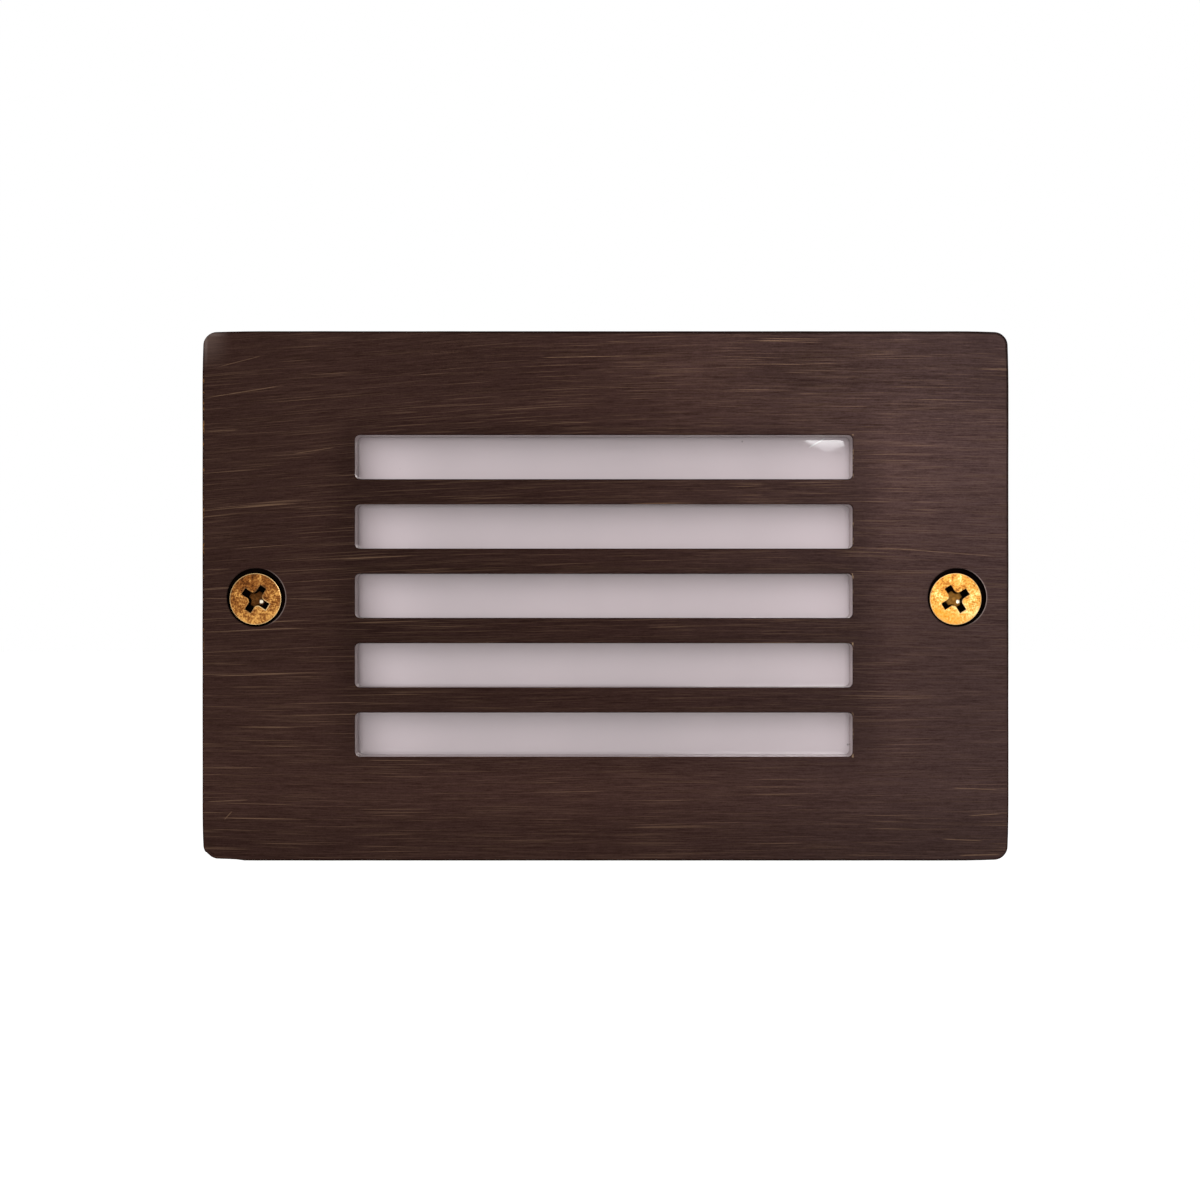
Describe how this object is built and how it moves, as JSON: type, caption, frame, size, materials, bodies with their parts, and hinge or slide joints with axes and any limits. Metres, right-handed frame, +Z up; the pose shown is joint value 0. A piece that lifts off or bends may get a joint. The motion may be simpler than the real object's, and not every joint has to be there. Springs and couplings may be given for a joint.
{
  "type": "step light",
  "caption": "Recessed step light: brushed aged-brass cover with five horizontal louvre slots over an opal lens, screwed to a moulded wall housing with lamp, reflector and cable gland.",
  "frame": {"origin": "centre of the cover's rim on the wall plane", "axes": "+X along the cover to the right as seen from the front, +Y into the wall, +Z up"},
  "size_m": [0.116, 0.0785, 0.0762],
  "materials": {
    "aged_brass": "brushed, dark oil-rubbed patina with brass showing in fine scratches",
    "screw_brass": "lacquered yellow brass, slightly tarnished",
    "opal_acrylic": "opal white, satin gloss",
    "seal_rubber": "black closed-cell silicone",
    "clip_steel": "stamped stainless",
    "insert_brass": "turned, bright",
    "housing_plastic": "black glass-filled moulding, fine spark texture",
    "reflector_aluminium": "semi-specular sheet",
    "holder_ceramic": "unglazed steatite",
    "lead_silicone": "white silicone sleeving",
    "terminal_plastic": "natural polyamide",
    "gland_plastic": "black polyamide",
    "lamp_glass": "clear quartz",
    "lamp_wire": "nickel and tungsten wire"
  },
  "bodies": {
    "housing": {"housing": "housing_plastic", "left_insert": "insert_brass", "right_insert": "insert_brass", "reflector": "reflector_aluminium", "reflector_screws": "clip_steel", "lamp_holder": "holder_ceramic", "lamp_contacts": "insert_brass", "holder_bracket": "clip_steel", "holder_screw": "clip_steel", "bracket_rivet": "reflector_aluminium", "front_lead": "lead_silicone", "rear_lead": "lead_silicone", "terminal_block": "terminal_plastic", "terminal_clamps": "insert_brass", "terminal_screws": "clip_steel", "block_screw": "clip_steel", "gland_body": "gland_plastic", "gland_washer": "seal_rubber", "gland_locknut": "gland_plastic", "gland_seal": "seal_rubber"},
    "cover": {"face_plate": "aged_brass", "lens": "opal_acrylic", "lens_seal": "seal_rubber", "cover_seal": "seal_rubber", "lens_clip_upper_left": "clip_steel", "lens_clip_upper_right": "clip_steel", "lens_clip_lower_left": "clip_steel", "lens_clip_lower_right": "clip_steel", "lens_clip_screws": "clip_steel"},
    "left_seal": {"left_screw_seal": "seal_rubber"},
    "left_screw": {"left_face_screw": "screw_brass"},
    "right_seal": {"right_screw_seal": "seal_rubber"},
    "right_screw": {"right_face_screw": "screw_brass"},
    "lamp": {"lamp_capsule": "lamp_glass", "lamp_pins": "lamp_wire", "lamp_filament": "lamp_wire"},
    "gland_clamp": {"gland_clamp_ring": "gland_plastic"},
    "gland_nut": {"gland_nut": "gland_plastic"}
  },
  "joints": [
    {"name": "cover_pull", "type": "slide", "parent": "housing", "child": "cover", "axis": [0, -1, 0], "range_m": [0, 0.045]},
    {"name": "left_screw_draw", "type": "slide", "parent": "cover", "child": "left_seal", "axis": [0, -1, 0], "range_m": [0, 0.01124]},
    {"name": "left_screw_turn", "type": "hinge", "parent": "left_seal", "child": "left_screw", "pos_m": [-0.05035, 0, -0.00045], "axis": [0, -1, 0], "range_deg": [0, 5100]},
    {"name": "right_screw_draw", "type": "slide", "parent": "cover", "child": "right_seal", "axis": [0, -1, 0], "range_m": [0, 0.01124]},
    {"name": "right_screw_turn", "type": "hinge", "parent": "right_seal", "child": "right_screw", "pos_m": [0.05035, 0, -0.00045], "axis": [0, -1, 0], "range_deg": [0, 5100]},
    {"name": "lamp_pull", "type": "slide", "parent": "housing", "child": "lamp", "axis": [1, 0, 0], "range_m": [0, 0.0078]},
    {"name": "gland_nut_draw", "type": "slide", "parent": "housing", "child": "gland_clamp", "axis": [0, 1, 0], "range_m": [0, 0.0065]},
    {"name": "gland_nut_turn", "type": "hinge", "parent": "gland_clamp", "child": "gland_nut", "pos_m": [0.016, 0.06, -0.008], "axis": [0, 1, 0], "range_deg": [0, 1560]}
  ],
  "couplings": [
    {"joint": "left_screw_turn", "follows": "left_screw_draw", "rad_per_m": 7915.8},
    {"joint": "right_screw_turn", "follows": "right_screw_draw", "rad_per_m": 7915.8},
    {"joint": "gland_nut_turn", "follows": "gland_nut_draw", "rad_per_m": 4188.8}
  ]
}
